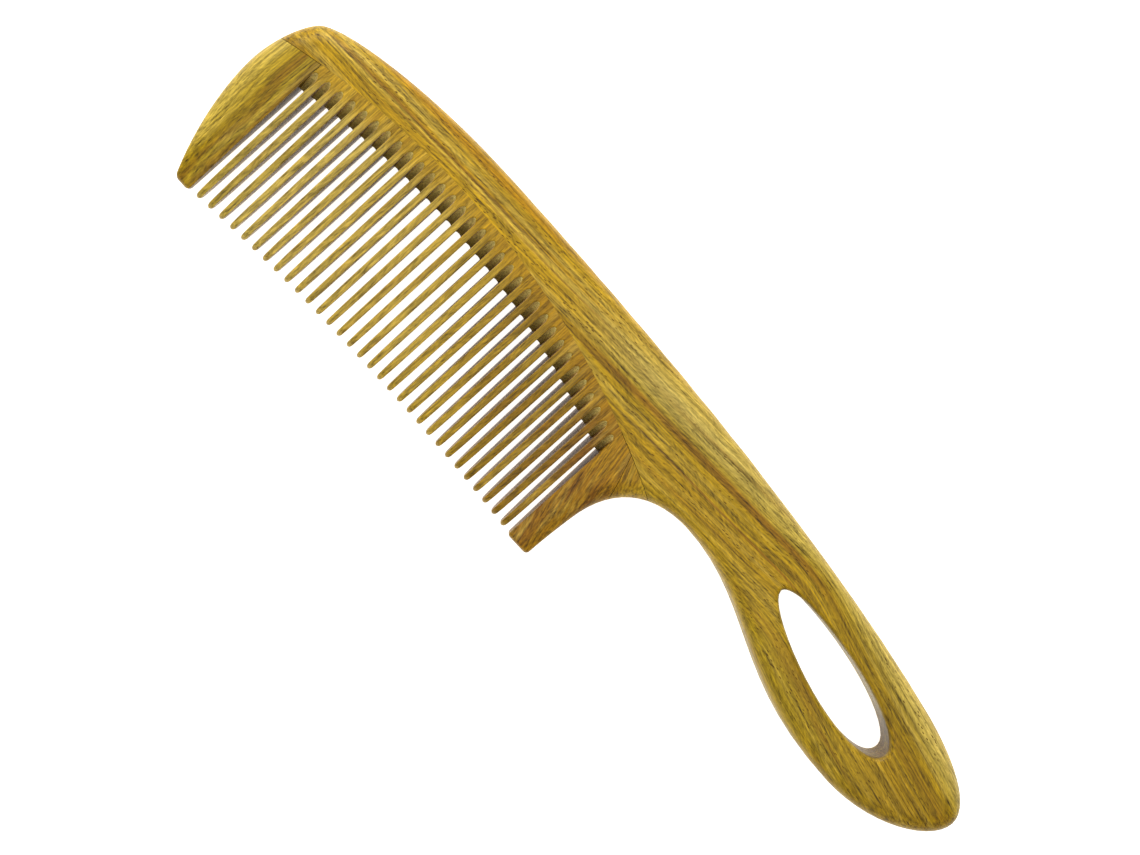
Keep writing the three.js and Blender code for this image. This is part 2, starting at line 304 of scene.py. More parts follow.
# %% [markdown]
# ## Sawing, marking and thinning
# A few small helpers do all the cutting. `saw` bisects a piece with a plane, throws one side away and
# closes the cut. `mark` bisects without throwing anything away, which adds a row of edges where the
# shape has to bend. `straighten_arch` shifts every place up or down so that the arched joint becomes a
# straight line: then one plane can cut it, and `bring_back_arch` undoes the shift. `grow` extrudes
# faces of a closed piece, where the old faces have to go, because they would end up as a wall inside
# the wood.
# Below the neck the comb gets thinner towards its feet. The change of slope is eased over a few
# millimetres, because sandpaper leaves no crease there. Neither does it leave one where the heel runs
# out into the neck, so the thinning also fades out towards the handle.

# %% Helpers for cutting
tip_thickness = 3.2


def parts_of(bm):
    return bm.verts[:] + bm.edges[:] + bm.faces[:]


def saw(bm, place, away):
    """Cut off everything on the side that away points to, and close the cut."""
    cut = bmesh.ops.bisect_plane(
        bm, geom=parts_of(bm), dist=1e-5, plane_co=place, plane_no=away, clear_outer=True
    )
    rim = [g for g in cut["geom_cut"] if isinstance(g, bmesh.types.BMEdge)]
    bmesh.ops.edgeloop_fill(bm, edges=rim)


def mark(bm, place, across, geom=None):
    """Add edges where a plane meets the piece, or only some of its faces."""
    bmesh.ops.bisect_plane(bm, geom=geom or parts_of(bm), dist=1e-5, plane_co=place, plane_no=across)


def grow(bm, faces, step):
    """Extrude faces of a closed piece by a step, and drop the old ones, which would be left inside."""
    grown = bmesh.ops.extrude_face_region(bm, geom=faces)["geom"]
    moved = [g for g in grown if isinstance(g, bmesh.types.BMVert)]
    bmesh.ops.translate(bm, vec=step, verts=moved)
    bmesh.ops.delete(bm, geom=faces, context="FACES")
    return [g for g in grown if isinstance(g, bmesh.types.BMFace)]


def straighten_arch(bm):
    for vert in bm.verts:
        vert.co.y -= arc_y(seam_radius, vert.co.x)


def bring_back_arch(bm):
    for vert in bm.verts:
        vert.co.y += arc_y(seam_radius, vert.co.x)


def eased(share):
    """A share from 0 to 1 that starts and ends gently."""
    share = min(1.0, max(0.0, share))
    return share * share * (3 - 2 * share)


def thinned(x, y):
    """Share of the full thickness that is left at a place, 1 in the spine and 0.32 at the feet."""
    ease = 4.0  # half the run over which the slope begins
    below = neck_y - y
    if below < ease:
        below = max(0.0, below + ease) ** 2 / (4 * ease)
    loss = (1 - tip_thickness / (2 * half)) * below / (neck_y - foot_y)
    return 1 - loss * eased((neck_x - x) / (neck_x - heel_x - 3))


taper_rows = [neck_y + 4 - k for k in range(9)] + [-5, -9, -13, -17, -20]
columns = [gap_middle(k) for k in range(-4, 41)]  # one line per gap, and some over the guards


def mark_columns(bm):
    """Upright marks at every tooth's pitch, so that the straightened joint can bend back to its arch."""
    for column in columns:
        mark(bm, (column, 0, 0), (1, 0, 0))


def thin_towards_feet(bm):
    for row in taper_rows:
        mark(bm, (0, row, 0), (0, 1, 0))
    for vert in bm.verts:
        vert.co.z *= thinned(vert.co.x, vert.co.y)


print("thickness at the feet:", round(2 * half * thinned(field_start, foot_y), 2), "mm")

# %% [markdown]
# ## Tongue and groove
# End-grain wood doesn't glue well to long-grain wood, so the upright pieces carry a tongue that slides
# into a groove under the spine. Both start from the flat face of the sawn joint: two marks along it
# bound a middle strip, and `grow` moves the strip up, into the spine for the groove and out of the teeth
# for the tongue. A small clearance leaves room for the glue.

# %% Helper for the tongue and its groove
tongue_height = 2.6
tongue_thickness = 3.4
tongue_clearance = 0.15
joint_slack = 1e-3  # a face this near to the joint's level still belongs to it
tongue_from = head_x + 5
tongue_to = heel_x - 2.2


def push_strip(bm, level, half_width, height, from_x, to_x):
    """Move the middle strip of the flat joint at a level along Y, between two places along X."""

    def at_level(face):
        return abs(face.calc_center_median().y - level) < joint_slack

    bm.normal_update()
    for side in (-1, 1):
        joint = [f for f in bm.faces if at_level(f) and abs(f.normal.y) > 0.9]
        # each edge and corner once, in the order of the faces
        edges = dict.fromkeys(e for f in joint for e in f.edges)
        verts = dict.fromkeys(v for f in joint for v in f.verts)
        mark(bm, (0, 0, side * half_width), (0, 0, 1), geom=[*verts, *edges, *joint])
    strip = []
    for face in bm.faces:
        middle = face.calc_center_median()
        if at_level(face) and abs(middle.z) < half_width and from_x < middle.x < to_x:
            strip.append(face)
    grow(bm, strip, (0, height, 0))


print("tongue from", round(tongue_from, 1), "to", round(tongue_to, 1), "mm")

# %% [markdown]
# ## Finishing a piece
# Every piece ends the same way: doubles are merged, faces are turned outwards, and the shape is lifted
# onto the table and scaled to metres in its mesh, so that the object itself stays at the origin.
# Faces are shaded smooth except across sharp corners. A Weighted Normal modifier keeps the large flat
# faces flat beside the small faces of their rounded edges.

# %% Helper that finishes a piece
sharp_corner = math.radians(38)


def finished(bm, name, node, material):
    bmesh.ops.remove_doubles(bm, verts=bm.verts, dist=same_place)
    bmesh.ops.recalc_face_normals(bm, faces=bm.faces)
    bmesh.ops.translate(bm, vec=(0, 0, half), verts=bm.verts)
    bmesh.ops.scale(bm, vec=(0.001, 0.001, 0.001), verts=bm.verts)
    for face in bm.faces:
        face.smooth = True
    for edge in bm.edges:
        edge.smooth = edge.calc_face_angle(0) < sharp_corner
    mesh = bpy.data.meshes.new(name)
    bm.to_mesh(mesh)
    bm.free()
    mesh.materials.append(material)
    piece = bpy.data.objects.new(name, mesh)
    bpy.context.scene.collection.objects.link(piece)
    flat = piece.modifiers.new("keep flat faces flat", "WEIGHTED_NORMAL")
    flat.keep_sharp = True
    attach(piece, "root")
    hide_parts(node)
    return piece


print("corners sharper than", round(math.degrees(sharp_corner)), "degrees stay crisp")

# %% [markdown]
# ## Wood grain as a node group
# All pieces are the same golden, slightly green wood, so its grain is one node group with the colours
# and strengths as inputs. The group reads a place in millimetres with X along the grain. Soft streaks
# mix a light and a dark wood colour into the ground. Fine fibres, and a feathery figure where fibres
# lean in turns, make that colour lighter and darker. Short dark pores come last. Each part is a noise
# that is stretched along the grain. An image would be simpler, but noise in three dimensions also fits
# the edges, the hole and the narrow walls between the teeth.

# %% Helpers for nodes
sheen = 0.028  # what the surface reflects of the pale room, on top of the wood's own colour


def tone(red, green, blue):
    """Wood that looks like this colour, 0 to 255, once its oiled surface adds its sheen."""
    linear = [((c / 255 + 0.055) / 1.055) ** 2.4 for c in (red, green, blue)]
    return tuple(max(0.002, c - sheen) for c in linear) + (1,)


class Workbench:
    """Adds nodes to one tree and links them, so that a material reads as a short recipe."""

    def __init__(self, tree):
        self.tree = tree

    def put(self, kind, inputs=None, **settings):
        made = self.tree.nodes.new(kind)
        for key, value in settings.items():
            setattr(made, key, value)
        for key, value in (inputs or {}).items():
            if isinstance(value, bpy.types.NodeSocket):
                self.link(value, made, key)
            else:
                made.inputs[key].default_value = value
        return made

    def link(self, output, node, label):
        self.tree.links.new(output, node.inputs[label])

    def stretch(self, vector, amounts):
        return self.put("ShaderNodeVectorMath", {0: vector, 1: amounts}, operation="MULTIPLY").outputs[0]

    def shift(self, vector, other):
        return self.put("ShaderNodeVectorMath", {0: vector, 1: other}, operation="ADD").outputs[0]

    def turn(self, vector, degrees):
        values = {"Vector": vector, "Angle": math.radians(degrees)}
        return self.put("ShaderNodeVectorRotate", values).outputs[0]

    def noise(self, vector, detail=2.0, roughness=0.5, output="Fac"):
        values = {"Vector": vector, "Scale": 1.0, "Detail": detail, "Roughness": roughness}
        return self.put("ShaderNodeTexNoise", values).outputs[output]

    def range(self, value, low, high, to_low=0.0, to_high=1.0, smooth=False):
        values = {"Value": value, "From Min": low, "From Max": high, "To Min": to_low, "To Max": to_high}
        kind = "SMOOTHSTEP" if smooth else "LINEAR"
        return self.put("ShaderNodeMapRange", values, interpolation_type=kind).outputs["Result"]

    def math(self, operation, a, b=0.5):
        return self.put("ShaderNodeMath", {0: a, 1: b}, operation=operation).outputs[0]

    def mix(self, share, a, b):
        return self.put("ShaderNodeMix", {0: share, 6: a, 7: b}, data_type="RGBA").outputs[2]

    def parts(self, vector):
        return self.put("ShaderNodeSeparateXYZ", {0: vector}).outputs


def new_group(name, inputs, outputs):
    group = bpy.data.node_groups.new(name, "ShaderNodeTree")
    for label, kind, value in inputs:
        socket = group.interface.new_socket(label, in_out="INPUT", socket_type=kind)
        if value is not None:
            socket.default_value = value
    for label, kind in outputs:
        group.interface.new_socket(label, in_out="OUTPUT", socket_type=kind)
    bench = Workbench(group)
    return group, bench, bench.put("NodeGroupInput").outputs, bench.put("NodeGroupOutput")


print("the Workbench can", ", ".join(name for name in vars(Workbench) if name[0] != "_"))

# %% Build the wood grain group
def wood_grain_group():
    group, bench, given, result = new_group(
        "wood grain",
        [
            ("Place", "NodeSocketVector", None),
            ("Wood", "NodeSocketColor", tone(172, 138, 52)),
            ("Light", "NodeSocketColor", tone(200, 172, 88)),
            ("Dark", "NodeSocketColor", tone(128, 90, 22)),
            ("Pore", "NodeSocketColor", tone(92, 70, 16)),
            ("Streaks", "NodeSocketFloat", 0.5),
            ("Fibres", "NodeSocketFloat", 0.4),
            ("Figure", "NodeSocketFloat", 0.4),
            ("Pores", "NodeSocketFloat", 0.6),
        ],
        [("Colour", "NodeSocketColor"), ("Roughness", "NodeSocketFloat"), ("Height", "NodeSocketFloat")],
    )
    place = given["Place"]
    sway = bench.noise(bench.stretch(place, (0.02, 0.07, 0.07)), 1.0, output="Color")
    sway = bench.stretch(bench.shift(sway, (-0.5, -0.5, -0.5)), (0.0, 3.2, 3.2))
    wavy = bench.shift(place, sway)

    streak = bench.noise(bench.stretch(wavy, (0.013, 0.42, 0.42)), 4.0, 0.62)
    light_streak = bench.math("MULTIPLY", bench.range(streak, 0.52, 0.72), given["Streaks"])
    dark_streak = bench.math("MULTIPLY", bench.range(streak, 0.47, 0.30), given["Streaks"])

    long_fibre = bench.noise(bench.stretch(wavy, (0.035, 2.3, 2.3)), 4.0, 0.62)
    short_fibre = bench.noise(bench.stretch(wavy, (0.3, 4.2, 4.2)), 2.0, 0.6)
    long_fibre = bench.math("MULTIPLY", long_fibre, 0.7)
    short_fibre = bench.math("MULTIPLY", short_fibre, 0.3)
    fibre = bench.math("ADD", long_fibre, short_fibre)
    fibre_relief = bench.math("MULTIPLY", bench.range(fibre, 0.3, 0.7, -1.0, 1.0), given["Fibres"])

    patches = bench.noise(bench.stretch(place, (0.10, 0.16, 0.16)), 2.0)
    leaning_up = bench.noise(bench.stretch(bench.turn(wavy, 17), (0.6, 2.9, 2.9)), 3.0, 0.6)
    leaning_down = bench.noise(bench.stretch(bench.turn(wavy, -14), (0.55, 2.7, 2.7)), 3.0, 0.6)
    lean = bench.put(
        "ShaderNodeMix",
        {0: bench.range(patches, 0.46, 0.54, smooth=True), 2: leaning_up, 3: leaning_down},
        data_type="FLOAT",
    ).outputs[0]
    lean_relief = bench.math("MULTIPLY", bench.range(lean, 0.25, 0.75, -1.0, 1.0), given["Figure"])
    relief = bench.math("ADD", fibre_relief, lean_relief)
    lightness = bench.range(relief, -1.0, 1.0, 0.12, 1.88)

    tilted = bench.turn(wavy, -7)
    cells = bench.put(
        "ShaderNodeTexVoronoi",
        {"Vector": bench.stretch(tilted, (0.55, 2.5, 2.5)), "Scale": 1.0, "Randomness": 1.0},
    ).outputs["Distance"]
    short_pore = bench.range(cells, 0.26, 0.14, smooth=True)
    crowd = bench.range(bench.noise(bench.stretch(wavy, (0.03, 0.6, 0.6)), 2.0), 0.42, 0.62)
    pore = bench.math("MULTIPLY", short_pore, crowd)
    shown_pore = bench.math("MULTIPLY", pore, given["Pores"])

    colour = bench.mix(light_streak, given["Wood"], given["Light"])
    colour = bench.mix(dark_streak, colour, given["Dark"])
    lit = bench.put("ShaderNodeVectorMath", {0: colour, "Scale": lightness}, operation="SCALE")
    colour = bench.mix(shown_pore, lit.outputs[0], given["Pore"])

    rough = bench.range(lean, 0.3, 0.7, 0.50, 0.38)
    rough = bench.math("ADD", rough, bench.math("MULTIPLY", shown_pore, 0.25))
    height = bench.math("ADD", bench.math("MULTIPLY", fibre, 0.55), bench.math("MULTIPLY", lean, 0.45))
    height = bench.math("SUBTRACT", height, bench.math("MULTIPLY", shown_pore, 0.8))
    bench.link(colour, result, "Colour")
    bench.link(rough, result, "Roughness")
    bench.link(height, result, "Height")
    return group


wood_grain = wood_grain_group()
print(wood_grain.name, "has", len(wood_grain.nodes), "nodes")

# %% [markdown]
# ## Painted edge highlight as a node group
# Where a comb's face rolls over into its edge, the colour is painted paler: a painted highlight that
# stands in for the lamp's light on the rounding. The group finds these places from the surface's
# direction: on a face it points straight up or down, on a wall it points sideways, and on the roll it
# leans. Only the roll gets the painted highlight, so the walls between the teeth keep the colour of
# their own material.

# %% Build the painted edge highlight group
def edge_highlight_group():
    group, bench, given, result = new_group(
        "painted edge highlight",
        [
            ("Colour", "NodeSocketColor", (0.5, 0.3, 0.1, 1)),
            ("Highlight", "NodeSocketColor", tone(222, 190, 112)),
            ("Amount", "NodeSocketFloat", 0.4),
            ("Place", "NodeSocketVector", None),
        ],
        [("Colour", "NodeSocketColor")],
    )
    normal = bench.put("ShaderNodeNewGeometry").outputs["Normal"]
    lean = bench.math("ABSOLUTE", bench.parts(normal)["Z"])
    off_face = bench.range(lean, 0.93, 0.5, smooth=True)
    off_wall = bench.range(lean, 0.02, 0.3)
    roll = bench.math("MULTIPLY", off_face, off_wall)
    patches = bench.noise(bench.stretch(given["Place"], (0.12, 0.5, 0.5)), 3.0)
    patchy = bench.range(patches, 0.3, 0.7, 0.45, 1.0)
    # painted highlight: the leaning roll of each edge is painted paler, in patches, by the given amount
    highlight_share = bench.math("MULTIPLY", bench.math("MULTIPLY", roll, patchy), given["Amount"])
    bench.link(bench.mix(highlight_share, given["Colour"], given["Highlight"]), result, "Colour")
    return group


edge_highlight = edge_highlight_group()
print(edge_highlight.name, "has", len(edge_highlight.nodes), "nodes")

# %% [markdown]
# ## From a recipe to a material
# Each wood material turns the object's own coordinates into millimetres along the grain, lets a small
# recipe choose the ground colour from the place on the comb, and runs both groups. A satin oil finish
# is a Principled shader with a middling roughness and a thin, slightly smoother coat. The fibres and
# pores also lift and sink the surface a little through a Bump node.

# %% Helper that makes a wood material
def grain_place(bench, degrees, climb=0.0, fall=0.0, fall_x=0.0):
    """Object coordinates in millimetres, plain and turned so that X runs along the grain.

    The grain may also climb along X, and fall away again, gently at first, past fall_x.
    """
    here = bench.put("ShaderNodeTexCoord").outputs["Object"]
    millimetres = bench.stretch(here, (1000, 1000, 1000))
    turned = bench.turn(millimetres, -degrees)
    if climb:
        x, y, z = bench.parts(turned)
        past = bench.math("SUBTRACT", x, fall_x)
        away = bench.put("ShaderNodeMath", {0: past, 1: 0.0, 2: 12.0}, operation="SMOOTH_MAX").outputs[0]
        across = bench.math("SUBTRACT", y, bench.math("MULTIPLY", x, climb))
        across = bench.math("ADD", across, bench.math("MULTIPLY", away, fall))
        turned = bench.put("ShaderNodeCombineXYZ", {0: x, 1: across, 2: z}).outputs[0]
    return millimetres, turned


fibre_height = 0.00012  # in metres
relief_strength = 0.35


def wood_material(name, ground, degrees=0.0, lie=(), edge_highlight_amount=0.4, **strengths):
    """A wood from a recipe for its ground, the turn and lie of its grain, and its strengths."""
    material = bpy.data.materials.new(name)
    material.use_nodes = True
    bench = Workbench(material.node_tree)
    millimetres, place = grain_place(bench, degrees, *lie)
    grain = bench.put("ShaderNodeGroup", node_tree=wood_grain)
    bench.link(place, grain, "Place")
    bench.link(ground(bench, millimetres, place), grain, "Wood")
    for key, value in strengths.items():
        grain.inputs[key].default_value = value
    edge = bench.put("ShaderNodeGroup", node_tree=edge_highlight)
    bench.link(grain.outputs["Colour"], edge, "Colour")
    bench.link(place, edge, "Place")
    # how strongly the rolled edges get their painted highlight
    edge.inputs["Amount"].default_value = edge_highlight_amount
    shader = material.node_tree.nodes["Principled BSDF"]
    bench.link(edge.outputs["Colour"], shader, "Base Color")
    bench.link(grain.outputs["Roughness"], shader, "Roughness")
    shader.inputs["Specular IOR Level"].default_value = 0.2
    shader.inputs["Coat Weight"].default_value = 0.04
    shader.inputs["Coat Roughness"].default_value = 0.32
    relief = bench.put(
        "ShaderNodeBump",
        {"Strength": relief_strength, "Distance": fibre_height, "Height": grain.outputs["Height"]},
    )
    bench.link(relief.outputs["Normal"], shader, "Normal")
    return material


def bands(bench, value, stops):
    """A colour ramp from (place, colour) pairs, read by a value from 0 to 1."""
    ramp = bench.put("ShaderNodeValToRGB", {"Fac": value})
    ramp.color_ramp.interpolation = "EASE"
    while len(ramp.color_ramp.elements) < len(stops):
        ramp.color_ramp.elements.new(0.5)
    for element, (place, colour) in zip(ramp.color_ramp.elements, stops):
        element.position = place
        element.color = colour
    return ramp.outputs["Color"]


print("fibres stand", round(fibre_height * 1000, 2), "mm high at most")

# %% [markdown]
# ## Spine and handle
# The spine's grain climbs a little towards the handle. The board shows broad bands that keep to the
# grain: an orange one at the very back, a pale one inside it, and warm brown towards the teeth. In the
# handle the pale band is partly painted sheen, where the rounded back catches the lamp. A colour ramp
# across the grain paints these bands, one ramp for the part over the teeth and one for the handle,
# blended in between. A few thin brown lines are added as masks of their own, because each begins and
# ends somewhere along the comb, and the grain group adds the rest. Towards the end of the handle the
# grain falls away with the back, and the lower part of the handle's end is painted darker, as painted
# shade where that end faces away from the lamp. The finger hole's wall is greyer than the face, and
# where it shows end grain, at the far end, it is darker.

# %% Material of the spine and handle
def dark_line(bench, across, at, width, along_x, first, last, strength):
    """Mask of one thin line of darker wood, which fades out at both of its ends."""
    off = bench.math("ABSOLUTE", bench.math("SUBTRACT", across, at))
    line = bench.math("MULTIPLY", bench.range(off, width, 0.2 * width, smooth=True), strength)
    begins = bench.range(along_x, *first, smooth=True)
    ends = bench.range(along_x, *last, smooth=True)
    return bench.math("MULTIPLY", line, bench.math("MULTIPLY", begins, ends))


def hole_wall(bench, millimetres):
    """Masks of the finger hole's wall, and of its end-grain part at the end of the handle."""
    box_length, box_width, slant = 44.0, 16.0, 10  # a box round the hole, turned with it
    to_middle = (-(hole_from + hole_to) / 2, 18.6 - back_y, 0)
    spot = bench.parts(bench.turn(bench.shift(millimetres, to_middle), slant))
    within_x = bench.math("LESS_THAN", bench.math("ABSOLUTE", spot["X"]), box_length / 2)
    within_y = bench.math("LESS_THAN", bench.math("ABSOLUTE", spot["Y"]), box_width / 2)
    within = bench.math("MULTIPLY", within_x, within_y)
    normal = bench.parts(bench.put("ShaderNodeNewGeometry").outputs["True Normal"])
    upright = bench.range(bench.math("ABSOLUTE", normal["Z"]), 0.75, 0.35, smooth=True)
    shown = bench.math("MULTIPLY", bench.math("MULTIPLY", within, upright), 0.8)
    return shown, bench.range(spot["X"], 9.0, 17.0, smooth=True)


def spine_ground(bench, millimetres, place):
    along_x = bench.parts(millimetres)["X"]
    drift = bench.noise(bench.stretch(place, (0.018, 0.10, 0.10)), 3.0)
    across = bench.math("ADD", bench.parts(place)["Y"], bench.range(drift, 0.25, 0.75, -0.5, 0.5))
    share = bench.range(across, -5.8, 24.2)
    over_teeth = bands(
        bench,
        share,
        [
            (0.60, tone(154, 124, 42)),
            (0.665, tone(160, 126, 38)),
            (0.72, tone(176, 140, 46)),
            (0.80, tone(180, 144, 48)),
            (0.845, tone(190, 158, 66)),
            (0.876, tone(174, 136, 42)),
            (0.90, tone(188, 158, 70)),
            (0.94, tone(174, 140, 52)),
            (0.99, tone(168, 126, 38)),
        ],
    )
    # grain bands and painted sheen: the pale band near the handle's back stands for the lamp's sheen on
    # the rounded back
    handle_bands_and_sheen = bands(
        bench,
        share,
        [
            (0.08, tone(160, 134, 52)),
            (0.34, tone(174, 142, 54)),
            (0.41, tone(170, 136, 46)),
            (0.475, tone(168, 134, 46)),
            (0.518, tone(168, 136, 46)),
            (0.62, tone(168, 136, 48)),
            (0.66, tone(162, 132, 48)),
            (0.69, tone(170, 144, 60)),
            (0.745, tone(180, 157, 80)),
            (0.80, tone(189, 166, 90)),
            (0.87, tone(190, 163, 82)),
            (0.94, tone(188, 154, 68)),
            (1.0, tone(176, 138, 50)),
        ],
    )
    shown = bench.mix(bench.range(along_x, -34.0, 0.0, smooth=True), over_teeth, handle_bands_and_sheen)
    # painted shade: the lower part of the handle's end is painted darker, as shade where it faces away
    # from the lamp
    end_shade_along = bench.range(along_x, 60.0, 92.0, smooth=True)
    tail = bench.math("MULTIPLY", end_shade_along, bench.range(share, 0.72, 0.58))
    shown = bench.mix(bench.math("MULTIPLY", tail, 0.6), shown, tone(140, 112, 32))
    # each line: height across the grain, half width, where it fades in and out along X, strength
    long_line = dark_line(bench, across, 20.0, 0.45, along_x, (-98, -88), (-24, -48), 0.6)
    thin_line = dark_line(bench, across, 19.0, 0.3, along_x, (-82, -74), (-8, -24), 0.5)
    handle_line = dark_line(bench, across, 13.85, 1.3, along_x, (-26, -8), (58, 36), 0.6)
    lower_line = dark_line(bench, across, 9.1, 0.4, along_x, (-6, 6), (50, 40), 0.65)
    broad_shade = dark_line(bench, across, 14.2, 3.0, along_x, (30, 50), (100, 76), 0.4)
    over_lines = bench.math("MAXIMUM", long_line, thin_line)
    handle_lines = bench.math("MAXIMUM", handle_line, lower_line)
    lines = bench.math("MAXIMUM", over_lines, handle_lines)
    shown = bench.mix(broad_shade, shown, tone(140, 114, 38))
    shown = bench.mix(lines, shown, tone(126, 84, 14))
    wall, end = hole_wall(bench, millimetres)
    return bench.mix(wall, shown, bench.mix(end, tone(182, 170, 130), tone(100, 80, 50)))


spine_wood = wood_material(
    "spine wood", spine_ground, lie=(0.04, 0.28, 46.0), Streaks=0.5, Fibres=1.0, Figure=0.45, Pores=1.0
)
print(spine_wood.name, "has", len(spine_wood.node_tree.nodes), "nodes")

# %% Saw out the spine and handle
def spine_and_handle():
    bm = board.copy()
    straighten_arch(bm)
    saw(bm, (0, 0, 0), (0, -1, 0))
    mark_columns(bm)
    groove_half = tongue_thickness / 2 + tongue_clearance
    push_strip(bm, 0, groove_half, tongue_height + tongue_clearance, tongue_from, tongue_to)
    bring_back_arch(bm)
    thin_towards_feet(bm)
    return finished(bm, "spine_and_handle_piece", "spine_and_handle", spine_wood)


spine = spine_and_handle()
print(spine.name, "has", len(spine.data.polygons), "faces")

# %% [markdown]
# ## The two guards and the wedge
# The guards are the broad outer teeth. Their grain stands upright. The head guard is olive yellow with
# upright dark streaks on its inner half, and the heel guard is browner, with a grain that leans out
# towards the handle. The wedge was cut from yet another offcut, so its grain runs at its own angle.
# All three are sawn out of the same shaped board as the spine, so the faces stay level across the
# joints. The guards' feet are rounded row by row: each row near the end is drawn in a little towards
# the middle.

# %% Helpers for guards and feet
glue_line = 0.1  # between two glued pieces
foot_rounding = 0.9


def quarter_round(share):
    """Height of a quarter circle, 0 at its foot and 1 at its top, at a share of the way across."""
    return math.sqrt(max(0.0, 1 - (1 - share) ** 2))


def hanging_part(saw_cuts, tongue=True):
    """Everything below the arched joint, with a tongue on top, sawn by the given planes."""
    bm = board.copy()
    straighten_arch(bm)
    saw(bm, (0, -glue_line, 0), (0, 1, 0))
    mark_columns(bm)
    if tongue:
        from_x = tongue_from + tongue_clearance
        push_strip(bm, -glue_line, tongue_thickness / 2, tongue_height, from_x, tongue_to)
    bring_back_arch(bm)
    for place, away in saw_cuts:
        saw(bm, place, away)
    return bm


def round_foot(bm, left, right):
    """Draw the rows near the foot in towards the foot's middle, as a quarter round."""
    middle = (left + right) / 2
    for share in (0.06, 0.2, 0.42, 0.7, 1.0):
        mark(bm, (0, foot_y + foot_rounding * share, 0), (0, 1, 0))
    for vert in bm.verts:
        rise = (vert.co.y - foot_y) / foot_rounding
        if rise < 1:
            inset = foot_rounding * (1 - quarter_round(rise))
            vert.co.x = middle + (vert.co.x - middle) * (1 - inset / ((right - left) / 2) * 0.9)
            vert.co.z *= 1 - 0.62 * inset / foot_rounding


print("the guards' feet are rounded over", foot_rounding, "mm")

# %% Materials of the guards and the wedge
def head_guard_ground(bench, millimetres, place):
    x = bench.parts(millimetres)["X"]
    drift = bench.noise(bench.stretch(millimetres, (0.3, 0.05, 0.2)), 3.0)
    across = bench.math("ADD", x, bench.range(drift, 0.3, 0.7, -1.2, 1.2))
    return bands(
        bench,
        bench.range(across, -100.5, -90.5),
        [
            (0.0, tone(188, 162, 84)),
            (0.2, tone(190, 164, 78)),
            (0.4, tone(176, 148, 58)),
            (0.6, tone(156, 128, 42)),
            (0.72, tone(142, 112, 30)),
            (0.8, tone(164, 138, 54)),
            (0.94, tone(138, 108, 28)),
        ],
    )


def heel_guard_ground(bench, millimetres, place):
    drift = bench.noise(bench.stretch(place, (0.03, 0.35, 0.35)), 3.0)
    return bench.mix(bench.range(drift, 0.36, 0.64), tone(122, 84, 12), tone(166, 126, 34))


def wedge_ground(bench, millimetres, place):
    drift = bench.noise(bench.stretch(place, (0.05, 0.5, 0.5)), 2.0)
    return bench.mix(bench.range(drift, 0.35, 0.65), tone(154, 118, 32), tone(184, 150, 56))


head_guard_wood = wood_material(
    "head guard wood", head_guard_ground, degrees=88, Streaks=0.45, Fibres=1.0, Figure=0.35, Pores=0.3
)
heel_guard_wood = wood_material(
    "heel guard wood", heel_guard_ground, degrees=-76, Streaks=0.55, Fibres=1.0, Figure=0.4, Pores=0.4
)
wedge_wood = wood_material(
    "wedge wood", wedge_ground, degrees=-64, Streaks=0.5, Fibres=1.0, Figure=0.35, Pores=0.4
)
print("guard and wedge woods are ready")

# %% Saw out the guards and the wedge
wedge_top_x = heel_x - 0.9
wedge_top = Vector((wedge_top_x, arc_y(seam_radius, wedge_top_x), 0))
wedge_bottom = Vector((heel_x + 2.7, neck_y - 7.4, 0))
wedge_run = (wedge_bottom - wedge_top).normalized()
towards_handle = Vector((-wedge_run.y, wedge_run.x, 0))
at_feet = ((0, foot_y, 0), (0, -1, 0))


def head_guard():
    bm = hanging_part([((field_start, 0, 0), (1, 0, 0)), at_feet])
    thin_towards_feet(bm)
    round_foot(bm, head_foot_x, field_start)
    return finished(bm, "head_guard_piece", "head_guard", head_guard_wood)


def heel_guard():
    beside_wedge = wedge_top - towards_handle * glue_line / 2
    bm = hanging_part([((field_end, 0, 0), (-1, 0, 0)), (beside_wedge, towards_handle), at_feet])
    thin_towards_feet(bm)
    round_foot(bm, field_end, heel_x)
    return finished(bm, "heel_guard_piece", "heel_guard", heel_guard_wood)


def heel_wedge():
    beside_guard = wedge_top + towards_handle * glue_line / 2
    bm = hanging_part([(beside_guard, -towards_handle)], tongue=False)
    thin_towards_feet(bm)
    return finished(bm, "heel_wedge_piece", "heel_wedge", wedge_wood)


for piece in (head_guard(), heel_guard(), heel_wedge()):
    print(piece.name, "has", len(piece.data.polygons), "faces")

# %% [markdown]
# ## Teeth
# A tooth is a thin shank below a root that is as wide as the whole pitch, so the roots stand side by
# side under the spine, and the first and last roots also fill the whole of the gap beside their guard.
# The saw that cut the gaps was round and cut from both faces, so each gap ends in two ramps that meet
# in a ridge at mid thickness, and the ramps have a scooped, round upper end.
# A tooth starts as its side view in two polygons, root and shank, which share the edges of the ramps.
# Both are extruded through the tooth's width. Then only the root's two ends are extruded on, in short
# steps, to the middle of the gap, and each step is drawn a bit higher than the last to scoop the ramp.

# %% Shape one tooth
ramp_start = 2.2  # from the joint down to the upper ends of the gaps' ramps
ramp_length = 3.8
scoop = 1.25  # how much higher a ramp reaches in the middle of its gap than at its walls
root_seam = 0.002  # between two roots
tips_radius = 535  # the tips stand on a shallow arc
tooth_rounding = 0.27


def tip_y(x):
    def sag(where):
        return tips_radius - math.sqrt(tips_radius**2 - (where - field_middle) ** 2)

    return foot_y + 0.2 + sag(field_end) - sag(x)


def ridge_y(x):
    return arc_y(seam_radius - ramp_start, x) - ramp_length


def scooped(distance):
    """How far a ramp reaches past its mean: least at a gap's wall, most in its middle."""
    return quarter_round(distance / (gap_width / 2)) - 0.6


